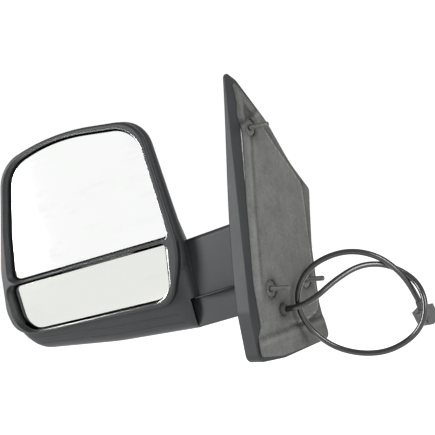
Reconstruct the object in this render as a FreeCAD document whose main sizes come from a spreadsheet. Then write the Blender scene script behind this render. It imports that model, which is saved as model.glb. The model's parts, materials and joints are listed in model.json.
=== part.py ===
import FreeCAD, Part
import math
import os
import re

import Sketcher

from FreeCAD import Placement, Rotation, Vector

# Left door mirror of a van: a head with two glasses that folds on a base for the door.
# Frame: +X inboard (into the door), +Y to the front of the vehicle, +Z up, origin on the
# door's outer face, midway between the two lower studs. Three working frames are used:
#   row    the frame above
#   DOOR   leans with the door: X out of the base into the door, Y forward, Z up along it
#   HEAD   X across the mirror (u), Y into the housing (depth), Z up (v), at the bezel's foot

os.makedirs("parts", exist_ok=True)
doc = FreeCAD.newDocument("DoorMirror")
sheet = doc.addObject("Spreadsheet::Sheet", "Sizes")

SIZES = {
    # base on the door
    "door_lean": 10, "gasket_thickness": 3, "cover_depth": 20, "cover_tip_depth": 5.5, "cover_wall": 2.6,
    "cover_stretch": 1, "frame_thickness": 4, "frame_clearance": 0.3, "border_width": 2, "border_groove": 0.8,
    "lead_pocket_depth": 10, "window_corner": 6,
    # studs on the base
    "stud_diameter": 6, "stud_length": 22, "stud_spacing": 73, "stud_offset": 2, "top_stud_forward": -24,
    "top_stud_height": 176, "collar_diameter": 18, "collar_recess": 0.5, "collar_hole_gap": 0.75,
    "stud_root": 4, "stud_root_step": 0.5, "stud_chamfer": 0.8,
    # cable outlet
    "outlet_forward": -20, "outlet_height": -24, "outlet_diameter": 13, "grommet_lip": 2.2,
    # fold pivot
    "fold_across": -53, "fold_forward": -29, "arm_depth": 56, "arm_radius": 49, "arm_top": 17,
    "arm_bottom": -15, "split_gap": 1.2, "arm_gap": 1.5, "block_foot_radius": 46.5, "block_top_radius": 52,
    "block_height": 65, "block_edge": 5, "block_wall": 4.5,
    "arm_root": 80, "arm_edge": 2.5, "root_start": -36, "root_curve": 14, "channel_reach": 75,
    "channel_half": 17, "channel_floor": 6, "post_radius": 9, "post_bore": 6,
    "post_height": 44, "post_flange": 17, "flange_thickness": 4, "post_foot": 15, "pivot_clearance": 0.05,
    "bush_radius": 14, "bush_height": 26, "hub_radius": 20, "hub_height": 20, "ring_height": 4.5,
    "ring_gap": 0.5,
    "disc_spring_thickness": 1, "disc_spring_rise": 1, "disc_springs": 5,
    "spring_gap": 0.3,
    "pivot_nut_radius": 13, "pivot_nut_height": 6,
    # head
    "head_across": -190, "head_forward": -102, "head_height": 30, "head_turn": 14, "head_width": 231,
    "head_tall": 215, "head_depth": 104, "shell_wall": 2.8, "chin_drop": 42, "rim_front": 5,
    "rim_seat": 3, "rim_skirt": 9, "rim_flare": 1.3, "skirt_gap": 0.4, "skirt_foot": 20,
    "divider_height": 62.6, "divider_band": 7.1,
    # glasses
    "glass_gap": 2, "glass_thickness": 2.2, "pad_thickness": 1.3, "carrier_thickness": 2, "upper_recess": 5,
    "lower_recess": 8, "carrier_margin": 3,
    # universal joints behind the glasses
    "pivot_behind": 14, "cross_radius": 3, "cross_reach": 14, "cross_core": 4, "ear_inner": 8,
    "ear_thickness": 4, "ear_radius": 4.6, "upper_pivot_across": 8, "upper_pivot_height": 133,
    "lower_pivot_across": 3, "lower_pivot_height": 33,
    # actuator
    "case_width": 84, "gear_case_gap": 0.6, "case_depth": 32, "case_wall": 2.4, "case_corner": 4,
    "plate_seat": 63,
    "lid_thickness": 3, "screw_lever": 24, "screw_radius": 4, "ball_radius": 3, "cup_gap": 0.7,
    "cup_wall": 2.3, "gear_radius": 11, "gear_height": 8, "gear_teeth": 24, "tooth_depth": 1.4,
    "motor_radius": 9, "motor_length": 26, "worm_radius": 4.4, "worm_length": 16, "mesh_gap": 0.3,
    "plate_thickness": 4, "gear_depth": 10, "tooth_gap_root": 0.25, "tooth_gap_tip": 0.9,
    "screw_shank_length": 28, "neck_share": 0.6, "beam_reach": 70, "beam_rear": 9, "beam_front": 15,
    "beam_foot": 8, "mount_reach": 12, "mount_disc_radius": 16, "mount_disc_thickness": 3,
    "mount_stem_radius": 9,
    # fasteners
    "screw_shank": 2, "screw_head": 4, "screw_head_height": 2.6, "screw_length": 12, "boss_radius": 5,
    # leads and plug
    "lead_diameter": 6.5, "inner_lead_diameter": 5, "plug_width": 20, "plug_height": 15, "plug_length": 18,
    "plug_wall": 1.6, "plug_cavity": 11, "boot_radius": 5, "boot_length": 9, "pin_length": 4.5,
    "pin_width": 1.6,
    "pin_pitch": 4, "pin_row": 5, "outlet_turn_depth": 12.5, "pivot_lead_drop": 18.5, "head_lead_drop": 6,
    "head_lead_reach": 56, "case_entry_depth": 16, "case_entry_height": 102,
}
for row, (alias, number) in enumerate(SIZES.items(), start=1):
    sheet.set("A%d" % row, alias)
    sheet.set("B%d" % row, str(number))
    sheet.setAlias("B%d" % row, alias)
doc.recompute()


def formula(text):
    """A formula of the sheet's names in FreeCAD's own form."""
    return re.sub(r"[a-z]\w*", lambda word: "Sizes." + word[0] if word[0] in SIZES else word[0], str(text))


def amount(text):
    """The present value of a formula of the sheet's names."""
    result = sheet.evalExpression(formula(text))
    return float(getattr(result, "Value", result))


# ---------------------------------------------------------------- frames
DOOR = Placement(Vector(0, 0, 0), Rotation(Vector(0, 1, 0), amount("door_lean")))
HEAD = Placement(Vector(amount("head_across"), amount("head_forward"), amount("head_height")),
                 Rotation(Vector(0, 0, 1), amount("head_turn")))
# the outlines are drawn at these widths, heights and depths; a narrower head keeps its arm side
DRAWN_WIDTH, DRAWN_HEIGHT, DRAWN_DEPTH = 231, 215, 104
HEAD = HEAD * Placement(Vector((DRAWN_WIDTH - amount("head_width")) / 2, 0, 0), Rotation())
FOLD = Placement(Vector(amount("fold_across"), amount("fold_forward"), amount("arm_top")), Rotation())
INTO_DOOR = Rotation(Vector(0, 1, 0), 90)
INTO_HEAD = Rotation(Vector(1, 0, 0), -90)


def on_door(forward, height, depth=0):
    """A place on the door's face whose Z goes into the door."""
    return DOOR * Placement(Vector(depth, forward, height), INTO_DOOR)


def in_head(across, height, depth):
    """A place in the head whose Z goes into the housing."""
    return HEAD * Placement(Vector(across, depth, height), INTO_HEAD)


def seen_from(frame, shape):
    """A shape of the row frame, given in the axes of another frame."""
    return shape.transformed(frame.inverse().toMatrix())


# ---------------------------------------------------------------- document objects
nodes = []


def keep(item, name, place=None):
    """Labels a sub-part and lists it for writing."""
    item.Label = name
    if place is not None:
        item.Placement = place
    nodes.append(item)
    return item


def origin_plane(body, role):
    """One of a body's own origin planes."""
    return next(plane for plane in body.Origin.OriginFeatures if plane.Role == role)


def outline_sketch(body, role, corners, shift=None):
    """A closed outline whose corners are bound to formulas of the sheet."""
    sketch = body.newObject("Sketcher::SketchObject", body.Name + "_sketch")
    sketch.AttachmentSupport = [(origin_plane(body, role), "")]
    sketch.MapMode = "FlatFace"
    if shift is not None:
        sketch.setExpression("AttachmentOffset.Base.z", formula(shift))
    points = [Vector(amount(across), amount(up), 0) for across, up in corners]
    for index, point in enumerate(points):
        sketch.addGeometry(Part.LineSegment(point, points[(index + 1) % len(points)]), False)
    for index in range(len(points)):
        sketch.addConstraint(Sketcher.Constraint("Coincident", index, 2, (index + 1) % len(points), 1))
    for index, (across, up) in enumerate(corners):
        bound = (("DistanceX", across, points[index].x), ("DistanceY", up, points[index].y))
        for kind, text, number in bound:
            which = sketch.addConstraint(Sketcher.Constraint(kind, -1, 1, index, 1, number))
            sketch.setExpression("Constraints[%d]" % which, formula(text))
    return sketch


def feature_of(body, kind, sketch, length=None, reverse=False):
    """A pad, pocket or revolution of one sketch, set as the body's tip."""
    item = body.newObject("PartDesign::" + kind, body.Name + "_" + kind.lower())
    item.Profile = sketch
    if kind == "Revolution":
        item.ReferenceAxis = (sketch, ["V_Axis"])
        item.Angle = 360
    if length is not None:
        item.setExpression("Length", formula(length))
        item.Reversed = reverse
    body.Tip = item
    return item


def new_body(name):
    """An empty body."""
    return doc.addObject("PartDesign::Body", name)


def turned(name, corners, place):
    """A turned piece: its half section (radius, height) goes round its own Z."""
    body = new_body(name)
    feature_of(body, "Revolution", outline_sketch(body, "XZ_Plane", corners))
    return keep(body, name, place)


def ring_corners(inner, outer, low, high):
    """Half section of a plain ring."""
    return [(inner, low), (outer, low), (outer, high), (inner, high)]


def copies(name, corners, places):
    """Equal turned pieces in one sub-part: one body, linked to each of its places."""
    blank = new_body(name + "_blank")
    feature_of(blank, "Revolution", outline_sketch(blank, "XZ_Plane", corners))
    links = []
    for place in places:
        link = doc.addObject("App::Link", name + "_copy")
        link.LinkedObject = blank
        link.LinkTransform = False
        link.Placement = place
        links.append(link)
    group = doc.addObject("Part::Compound", name)
    group.Links = links
    return keep(group, name)


def shaped(name, shape, place=None):
    """A sub-part whose shape comes from Part's own functions."""
    item = doc.addObject("Part::Feature", name)
    item.Shape = shape
    return keep(item, name, place)


# ---------------------------------------------------------------- outlines
SIDE_LEFT = 0.995    # the share of a side that the arcs at its ends may take


def corner_reach(corners, index):
    """How far along its two sides the arc of a corner reaches, and the two directions."""
    here = Vector(*corners[index][:2], 0)
    before = (Vector(*corners[index - 1][:2], 0) - here).normalize()
    after = (Vector(*corners[(index + 1) % len(corners)][:2], 0) - here).normalize()
    turn = math.pi - before.getAngle(after)
    return corners[index][2] * math.tan(turn / 2), here, before, after, turn


def limited(corners):
    """The corners with each radius cut to what its two sides have room for."""
    reaches = [corner_reach(corners, index)[0] for index in range(len(corners))]
    shares = []
    for index, reach in enumerate(reaches):
        after = (index + 1) % len(corners)
        side = Vector(*corners[index][:2], 0).distanceToPoint(Vector(*corners[after][:2], 0))
        shares.append(min(1, SIDE_LEFT * side / (reach + reaches[after])))
    return [(a, b, radius * min(shares[index - 1], shares[index]))
            for index, (a, b, radius) in enumerate(corners)]


def rounded_wire(outline, lift):
    """A closed wire with an arc at each corner (a, b, radius); lift puts (a, b) in space."""
    corners = limited(outline)
    arcs = []
    for index, (_, _, radius) in enumerate(corners):
        reach, here, before, after, turn = corner_reach(corners, index)
        inward = (before + after).normalize() * (radius / math.cos(turn / 2) - radius)
        arcs.append((here + before * reach, here + inward, here + after * reach))
    edges = []
    for index, (start, middle, finish) in enumerate(arcs):
        edges.append(Part.Arc(lift(start), lift(middle), lift(finish)).toShape())
        edges.append(Part.LineSegment(lift(finish), lift(arcs[(index + 1) % len(arcs)][0])).toShape())
    return Part.Wire(edges)


def inset(corners, distance):
    """The outline moved inward by a distance, corner radii kept concentric."""
    count = len(corners)
    sides = []
    for index in range(count):
        start = Vector(*corners[index][:2], 0)
        along = (Vector(*corners[(index + 1) % count][:2], 0) - start).normalize()
        sides.append((start + Vector(-along.y, along.x, 0) * distance, along))
    result = []
    for index, (_, _, radius) in enumerate(corners):
        (point, first), (other, second) = sides[index - 1], sides[index]
        cross = first.x * second.y - first.y * second.x
        gap = other - point
        far = (gap.x * second.y - gap.y * second.x) / cross
        corner = point + first * far
        concentric = radius - distance if cross > 0 else radius + distance
        result.append((corner.x, corner.y, max(concentric, 1.0)))
    return result


def door_slab(corners, low, high):
    """An outline of the door's face, raised between two depths (DOOR axes)."""
    face = Part.Face(rounded_wire(corners, lambda spot: Vector(low, spot.x, spot.y)))
    return face.extrude(Vector(high - low, 0, 0))


def head_wire(corners, depth):
    """An outline of the bezel's plane at a depth (HEAD axes)."""
    return rounded_wire(corners, lambda spot: Vector(spot.x, depth, spot.y))


def head_slab(corners, low, high):
    """An outline of the bezel's plane, raised between two depths (HEAD axes)."""
    return Part.Face(head_wire(corners, low)).extrude(Vector(0, high - low, 0))


def softened(shape, radius, wanted):
    """Rounds the edges that a test picks."""
    return shape.makeFillet(radius, [edge for edge in shape.Edges if wanted(edge)])


def box_between(low, high):
    """A box from its lowest to its highest corner."""
    return Part.makeBox(high[0] - low[0], high[1] - low[1], high[2] - low[2], Vector(*low))


# ---------------------------------------------------------------- shared places
lower_studs = [(-amount("stud_spacing") / 2, amount("stud_offset")),
               (amount("stud_spacing") / 2, -amount("stud_offset"))]
stud_places = [(amount("top_stud_forward"), amount("top_stud_height"))] + lower_studs
outlet = (amount("outlet_forward"), amount("outlet_height"))
stretch = amount("cover_stretch")
gasket_back = -amount("gasket_thickness")

# base outlines on the door's face: (forward, up, corner radius), counter-clockwise
COVER = [(-52, 238 * stretch, 5), (-81, -14, 24), (-79, -68, 10), (-30, -75, 60), (69, -77, 7),
         (59, -34, 60), (64, 34, 120), (80, 97, 6), (48, 130, 150), (13, 181, 90), (-33, 228 * stretch, 20)]
GASKET = [(-42, 229 * stretch, 3), (-39, 204, 8), (-43, 192, 6), (-38, 172, 30), (-52, 102, 200),
          (-66, 15, 60),
          (-66, -33, 6), (-74, -42, 7), (-76, -63, 6), (-34, -72, 40), (68, -76, 6), (59, -34, 60),
          (64, 34, 120), (79, 97, 6), (48, 129, 150), (13, 180, 90), (-31, 221 * stretch, 4)]
BORDER = [(-37, 187, 4), (-64, -29, 5), (18, -46, 20), (53, -40, 12), (55, 30, 90), (61, 104, 8),
          (-15, 192, 6)]
FRAME = [(-37, 190, 8), (-58, 60, 200), (-61, -20, 20), (-60, -58, 8), (52, -62, 8), (51, -30, 40),
         (56, 34, 100), (68, 92, 10), (8, 172, 40), (-18, 192, 6)]

WINDOWS = [[(20, 40), (46, 40), (44, 96), (20, 96)], [(-46, 40), (-6, 40), (-8, 96), (-42, 96)],
           [(-36, 110), (4, 110), (-4, 146), (-34, 146)]]
FRAME_SCREWS = [(-52, 22), (40, -50), (-51, -48), (54, 84)]

# head outlines at rising depth: (across, up, corner radius), counter-clockwise
wide = amount("head_width") / DRAWN_WIDTH
tall = amount("head_tall") / DRAWN_HEIGHT
deep = amount("head_depth") / DRAWN_DEPTH
chin = amount("chin_drop")


def head_outline(corners):
    """An outline drawn at the usual size, at the head's width and height."""
    return [(u * wide, v * tall, radius) for u, v, radius in corners]


# corner order: low inboard, inboard, top inboard, top, top outboard, outboard (two), low outboard, foot
RIM = head_outline([(93, -11.8, 22), (120.3, 38.5, 98), (120.8, 193, 35), (14, 215.7, 262), (-65, 202.3, 45),
                    (-107.6, 84.8, 73), (-116.5, 38.4, 38), (-111.3, 8.5, 24), (0, -3.2, 300)])
SECTIONS = [
    (amount("rim_seat"), RIM),
    (24 * deep, head_outline([(114, -4 - chin, 14), (118.5, 48, 200), (115.5, 191, 34), (14, 215, 250),
                              (-64.5, 202, 44), (-107, 84.5, 73), (-116.5, 38, 38), (-105, -14, 24),
                              (0, -33, 300)])),
    (52 * deep, head_outline([(112, -4 - chin, 18), (106.5, 50, 400), (97.5, 186, 38), (14, 205, 200),
                              (-58, 192, 42), (-98, 82, 120), (-109, 38, 44), (-98, -12, 30),
                              (0, -31, 300)])),
    (80 * deep, head_outline([(102, -38, 26), (96.5, 44, 150), (84, 168, 46), (16, 188, 130),
                              (-42, 176, 46), (-78, 84, 120), (-86, 44, 44), (-76, 0, 32), (0, -22, 200)])),
    (97 * deep, head_outline([(88, -20, 32), (84, 46, 100), (74, 142, 46), (18, 162, 76), (-26, 150, 36),
                              (-50, 90, 90), (-57, 54, 38), (-50, 12, 26), (6, -10, 80)])),
    (amount("head_depth"), head_outline([(74, -6, 26), (71, 46, 100), (61, 130, 36), (18, 147, 60),
                                         (-18, 137, 26), (-38, 90, 80), (-45, 56, 30), (-38, 21, 20),
                                         (8, 2, 60)])),
]
block_low = amount("arm_top + split_gap")


INBOARD = 20
OUTBOARD = -200
DRILL = 20
DRILL_START = -15
BEYOND = 100


def about_fold(radius, low, high):
    """A cylinder round the fold axis between two heights (row frame)."""
    return Part.makeCylinder(radius, high - low, Vector(FOLD.Base.x, FOLD.Base.y, low))


def block_cone(extra, low, high):
    """The round end of the head's arm: a cone about the fold axis, wider upward (row frame)."""
    rise = (amount("block_top_radius") - amount("block_foot_radius")) / amount("block_height")
    foot = amount("block_foot_radius") + extra + (low - amount("arm_top")) * rise
    return Part.makeCone(foot, foot + (high - low) * rise, high - low, Vector(FOLD.Base.x, FOLD.Base.y, low))


def arm_slab(inboard, outboard, low, high):
    """A length of the arm's rectangular section (row frame)."""
    half = amount("arm_depth") / 2
    return box_between((outboard, FOLD.Base.y - half, low), (inboard, FOLD.Base.y + half, high))


# ---------------------------------------------------------------- base: cover and its arm
def cover_skin(extra):
    """The cover's outer body in DOOR axes, its back face curving toward the tip."""
    depth = amount("cover_depth") - extra
    side = -BEYOND
    tip = COVER[0][1] + 5
    curve = Part.BSplineCurve()
    stations = [Vector(-depth * share, side, height) for share, height in ((1, 30), (0.875, 88), (0.58, 161))]
    curve.interpolate(stations + [Vector(extra - amount("cover_tip_depth"), side, tip)])
    low_front = Vector(gasket_back, side, side)
    low_back = Vector(-depth, side, side)
    high_front = Vector(gasket_back, side, tip)
    edges = [Part.LineSegment(low_front, low_back).toShape(),
             Part.LineSegment(low_back, curve.StartPoint).toShape(),
             curve.toShape(),
             Part.LineSegment(curve.EndPoint, high_front).toShape(),
             Part.LineSegment(high_front, low_front).toShape()]
    profile = Part.Face(Part.Wire(edges)).extrude(Vector(0, 2 * BEYOND, 0))
    return profile.common(door_slab(inset(COVER, extra) if extra else COVER, -BEYOND, gasket_back))


def lower_arm():
    """The fixed arm under the head's arm: round outboard end, curved root (row frame)."""
    low, high = amount("arm_bottom"), amount("arm_top")
    curve = amount("root_curve")
    round_end = about_fold(amount("arm_radius"), low, high).common(arm_slab(FOLD.Base.x, OUTBOARD, low, high))
    straight = arm_slab(INBOARD, FOLD.Base.x, low, high)
    start = Vector(amount("root_start"), FOLD.Base.y - amount("arm_depth") / 2, low)
    middle = start + Vector(curve * 0.72, 0, -curve * 0.35)
    foot = start + Vector(curve, 0, -curve * 1.35)
    corners = [foot, Vector(INBOARD, foot.y, foot.z), Vector(INBOARD, foot.y, low + 1),
               Vector(start.x, foot.y, low + 1), start]
    edges = [Part.Arc(start, middle, foot).toShape()]
    for first, second in zip(corners, corners[1:]):
        edges.append(Part.LineSegment(first, second).toShape())
    root = Part.Face(Part.Wire(edges)).extrude(Vector(0, amount("arm_depth"), 0))
    return round_end.fuse(straight).fuse(root).removeSplitter()


lead_hole = amount("inner_lead_diameter") / 2 + 1.5
skin = softened(cover_skin(0), 2.0, lambda edge: edge.BoundBox.XMax < gasket_back - 1)
outside_gasket = box_between((-300, -300, -300), (gasket_back, 300, 300))
arm_solid = seen_from(DOOR, lower_arm()).common(outside_gasket)
arm_solid = softened(arm_solid, amount("arm_edge"),
                     lambda edge: edge.BoundBox.XMax < -70 and edge.BoundBox.ZLength < 20)
scoop = block_cone(amount("arm_gap"), amount("arm_top"), amount("arm_top + block_height + 4"))
cover = skin.cut(seen_from(DOOR, scoop)).fuse(arm_solid)
frame_back = gasket_back - amount("frame_thickness")
frame_pocket = door_slab(inset(FRAME, -amount("frame_clearance")), frame_back - amount("frame_clearance"), 1)
lead_pocket = box_between((frame_back - amount("lead_pocket_depth"), outlet[0] - 24, outlet[1] - 12),
                          (1, outlet[0] + 12, 12))
post_well = about_fold(amount("post_flange + frame_clearance"), amount("arm_top - flange_thickness * 2"), 60)
post_well = post_well.fuse(about_fold(amount("post_radius + pivot_clearance"), amount("arm_top") - 22, 20))
lead_level = amount("arm_top - pivot_lead_drop")
lead_way = Part.makeCylinder(lead_hole, 45, Vector(FOLD.Base.x, FOLD.Base.y, lead_level), Vector(1, 0, 0))
hollow = cover_skin(amount("cover_wall")).common(door_slab(inset(FRAME, 4), -BEYOND, gasket_back))
kept = block_cone(amount("arm_gap + cover_wall"), amount("arm_top") - 3, amount("arm_top + block_height") + 8)
kept = kept.fuse(arm_slab(30, -30, amount("arm_bottom") - 3, amount("arm_top")))
hollow = hollow.cut(seen_from(DOOR, kept))
cover = cover.cut(frame_pocket).cut(hollow).cut(lead_pocket)
cover = cover.cut(seen_from(DOOR, post_well.fuse(lead_way))).removeSplitter()
shaped("base_cover", cover, DOOR)

# ---------------------------------------------------------------- base: frame, gasket, studs
frame = door_slab(FRAME, frame_back, gasket_back)
for window in WINDOWS:
    corners = [(forward, height, amount("window_corner")) for forward, height in window]
    frame = frame.cut(door_slab(corners, frame_back - 1, 0))
outlet_hole = amount("outlet_diameter") / 2
into_door = Vector(1, 0, 0)
frame = frame.cut(Part.makeCylinder(outlet_hole, DRILL, Vector(DRILL_START, *outlet), into_door))
for place in stud_places:
    seat = Part.makeCylinder(amount("stud_diameter / 2 + stud_root_step"), DRILL,
                             Vector(DRILL_START, *place), into_door)
    frame = frame.cut(seat)
screw_rise = amount("screw_head_height")
for place in FRAME_SCREWS:
    frame = frame.cut(Part.makeCylinder(amount("screw_shank"), DRILL, Vector(DRILL_START, *place), into_door))
    frame = frame.cut(Part.makeCylinder(amount("screw_head + frame_clearance"),
                                        amount("screw_head_height") + 1,
                                        Vector(gasket_back - screw_rise, *place), into_door))
shaped("base_frame", frame, DOOR)

gasket = door_slab(GASKET, gasket_back, 0)
groove = amount("border_groove")
ring = door_slab(BORDER, -groove, 1).cut(door_slab(inset(BORDER, amount("border_width")), -groove, 1))
gasket = gasket.cut(ring)
collar_hole = amount("collar_diameter") / 2 + amount("collar_hole_gap")
for place in stud_places:
    gasket = gasket.cut(Part.makeCylinder(collar_hole, DRILL, Vector(DRILL_START, *place), into_door))
gasket = gasket.cut(Part.makeCylinder(outlet_hole, DRILL, Vector(DRILL_START, *outlet), into_door))
shaped("door_gasket", gasket, DOOR)

stud = "stud_diameter / 2"
stud_root = stud + " + stud_root_step"
copies("mount_studs", [(0, "-stud_root - gasket_thickness"), (stud_root, "-stud_root - gasket_thickness"),
                       (stud_root, "-collar_recess"), (stud, "-collar_recess"),
                       (stud, "stud_length - stud_chamfer"), (stud + " - stud_chamfer", "stud_length"),
                       (0, "stud_length")],
       [on_door(*place) for place in stud_places])
copies("stud_collars", [(stud_root, "-gasket_thickness"), ("collar_diameter / 2", "-gasket_thickness"),
                        ("collar_diameter / 2", "-gasket_thickness / 2"), (stud + " + 3", "-collar_recess"),
                        (stud_root, "-collar_recess")],
       [on_door(*place) for place in stud_places])
into_cover = Rotation(Vector(0, 1, 0), -90)
cover_screw = [(0, "-screw_head_height"), ("screw_head", "-screw_head_height"), ("screw_head", 0),
               ("screw_shank", 0), ("screw_shank", "frame_thickness"), (0, "frame_thickness")]
copies("frame_screws", cover_screw,
       [DOOR * Placement(Vector(gasket_back - screw_rise, *place), into_cover) for place in FRAME_SCREWS])

grommet_corners = [("lead_diameter / 2", "-gasket_thickness - frame_thickness"),
                   ("outlet_diameter / 2", "-gasket_thickness - frame_thickness"),
                   ("outlet_diameter / 2", "-collar_recess"), ("lead_diameter / 2 + grommet_lip", 3),
                   ("lead_diameter / 2", 3)]
turned("cable_grommet", grommet_corners, on_door(*outlet))

# ---------------------------------------------------------------- fold pivot
turned("pivot_post", [("post_bore", "-post_foot"), ("post_radius", "-post_foot"),
                      ("post_radius", "-flange_thickness * 2"), ("post_flange", "-flange_thickness * 2"),
                      ("post_flange", "-flange_thickness"), ("post_radius", "-flange_thickness"),
                      ("post_radius", "post_height"), ("post_bore", "post_height")], FOLD)
turned("detent_ring_lower", ring_corners("post_radius", "post_flange", "-flange_thickness",
                                         "-flange_thickness + ring_height"), FOLD)
hub_low = "-flange_thickness + ring_height * 2 + ring_gap"
turned("detent_ring_upper",
       ring_corners("bush_radius", "post_flange", "-flange_thickness + ring_height + ring_gap",
                                         hub_low), FOLD)
turned("pivot_bush", ring_corners("post_radius + pivot_clearance", "bush_radius",
                                  "-flange_thickness + ring_height + ring_gap",
                                  "-flange_thickness + ring_height + ring_gap + bush_height"), FOLD)
bush_top = amount("-flange_thickness + ring_height + ring_gap + bush_height")
spring_pitch = amount("disc_spring_thickness + disc_spring_rise")
springs = []
for turn in range(int(amount("disc_springs"))):
    springs.append(FOLD * Placement(Vector(0, 0, bush_top + amount("spring_gap") + turn * spring_pitch),
                                    Rotation()))
copies("disc_springs", [("post_radius + spring_gap", 0), ("bush_radius", "disc_spring_rise * 0.6"),
                        ("bush_radius", "disc_spring_rise * 0.6 + disc_spring_thickness"),
                        ("post_radius + spring_gap", "disc_spring_thickness")], springs)
turned("pivot_nut", [("post_radius", "post_height - pivot_nut_height"),
                     ("pivot_nut_radius", "post_height - pivot_nut_height"),
                     ("pivot_nut_radius", "post_height - 1"), ("pivot_nut_radius - 1", "post_height"),
                     ("post_radius", "post_height")], FOLD)

# ---------------------------------------------------------------- head: housing
def head_body(distance):
    """The housing's outer form, or the same form a wall thickness inside it (HEAD axes)."""
    wires = []
    for index, (depth, corners) in enumerate(SECTIONS):
        last = index == len(SECTIONS) - 1
        wires.append(head_wire(inset(corners, distance) if distance else corners,
                               depth - distance if last and distance else depth))
    return Part.makeLoft(wires, True, False)


def head_arm():
    """The head's arm over the split: flat sides, conical round end (row frame)."""
    top = amount("arm_top + block_height")
    cone = block_cone(0, block_low, top)
    half = amount("arm_depth") / 2
    root = amount("arm_root")
    end = cone.common(arm_slab(40, FOLD.Base.x, block_low, top))
    inner = box_between((FOLD.Base.x - root, FOLD.Base.y - half, block_low),
                        (FOLD.Base.x, FOLD.Base.y + half, top))
    block = end.fuse(inner).removeSplitter()
    return softened(block, amount("block_edge"), lambda edge: edge.BoundBox.ZMin > top - 0.1
                    and edge.BoundBox.XMax > FOLD.Base.x - root + 1)


def swept_arm(extra, low, high):
    """What the base's lower arm needs free round it (row frame)."""
    return about_fold(amount("arm_radius") + extra, low, high)


outer = head_body(0)
inner = head_body(amount("shell_wall"))
mouth = head_slab(inset(RIM, amount("shell_wall")), 0, amount("rim_seat") + 0.5)
shell = outer.fuse(seen_from(HEAD, head_arm()))
into_head = Vector(0, 1, 0)
BOSSES = [(78, 12), (76, 132), (-50, 108), (-30, 44)]
plate_low = amount("plate_seat")
plate_high = plate_low + amount("plate_thickness")
wall = amount("shell_wall")
hollow = inner.cut(seen_from(HEAD, swept_arm(amount("arm_gap") + wall, -BEYOND, block_low + wall)))
for across, up in BOSSES:
    boss = Part.makeCylinder(amount("boss_radius"), BEYOND, Vector(across * wide, plate_high, up * tall),
                             into_head)
    hollow = hollow.cut(boss)
shell = shell.cut(hollow).cut(mouth)
block_roof = amount("arm_top + block_height - block_wall")
hub_room = amount("hub_radius") + 4
arm_room = about_fold(hub_room, block_low - 1, block_roof)
channel_half = amount("channel_half")
channel = box_between((FOLD.Base.x - amount("channel_reach"), FOLD.Base.y - channel_half,
                       block_low + amount("channel_floor")),
                      (FOLD.Base.x, FOLD.Base.y + channel_half, block_roof - 1))
shell = shell.cut(seen_from(HEAD, arm_room.fuse(channel)))
shell = shell.cut(seen_from(HEAD, swept_arm(amount("arm_gap"), -BEYOND, block_low)))
for across, up in BOSSES:
    pilot = Part.makeCylinder(amount("screw_shank"), amount("screw_length"),
                              Vector(across * wide, plate_high, up * tall), into_head)
    shell = shell.cut(pilot)
shaped("housing_shell", shell.removeSplitter(), HEAD)

# ---------------------------------------------------------------- head: bezel
divider = amount("divider_height")
half_divider = amount("divider_band") / 2
UPPER_GLASS = head_outline([(108.5, divider + half_divider - 5, 6), (110.8, 186.7, 34), (7.8, 208.6, 200),
                            (-58.6, 195.4, 40), (-83.3, 125.3, 180),
                            (-97.4, divider + half_divider + 4.6, 8)])
LOWER_GLASS = head_outline([(89.5, -3.6, 24), (103.3, divider - half_divider - 5.2, 5),
                            (-103.6, divider - half_divider + 5.3, 8), (-103.7, 9.7, 26)])
# how much wider than the flare each corner of an opening is at the bezel's front: (across, up)
UPPER_SPREAD = [(2.2, -1), (2.2, 0), (0, 0), (-1, 0), (-2, 0), (-2, -1)]
LOWER_SPREAD = [(2.2, 0), (2.2, -1), (-2, -1), (-2, 0)]
rim_front = amount("rim_front")
rim_back = amount("rim_seat + rim_skirt")
skirt_step = 0.6
rim = head_slab(RIM, -rim_front, amount("rim_seat"))
rim = softened(rim, 3.0, lambda edge: edge.BoundBox.YMax < 0.1 - rim_front)
skirt = head_body(amount("shell_wall + skirt_gap"))
skirt = skirt.common(box_between((OUTBOARD, 0, amount("skirt_foot")), (-OUTBOARD, rim_back, -2 * OUTBOARD)))
bezel = rim.fuse(skirt)
for pane, spread in ((UPPER_GLASS, UPPER_SPREAD), (LOWER_GLASS, LOWER_SPREAD)):
    opening = inset(pane, -amount("glass_gap"))
    flare = [(u + more_u, v + more_v, radius) for (u, v, radius), (more_u, more_v)
             in zip(inset(opening, -amount("rim_flare")), spread)]
    bezel = bezel.cut(Part.makeLoft([head_wire(flare, -rim_front), head_wire(opening, 0)], True, True))
    bezel = bezel.cut(head_slab(flare, -rim_front - 1, -rim_front))
    bezel = bezel.cut(head_slab(opening, -1, 4))
    bezel = bezel.cut(head_slab(inset(opening, -skirt_step), 3.9, rim_back + 1))
shaped("bezel_frame", bezel.removeSplitter(), HEAD)


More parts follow.
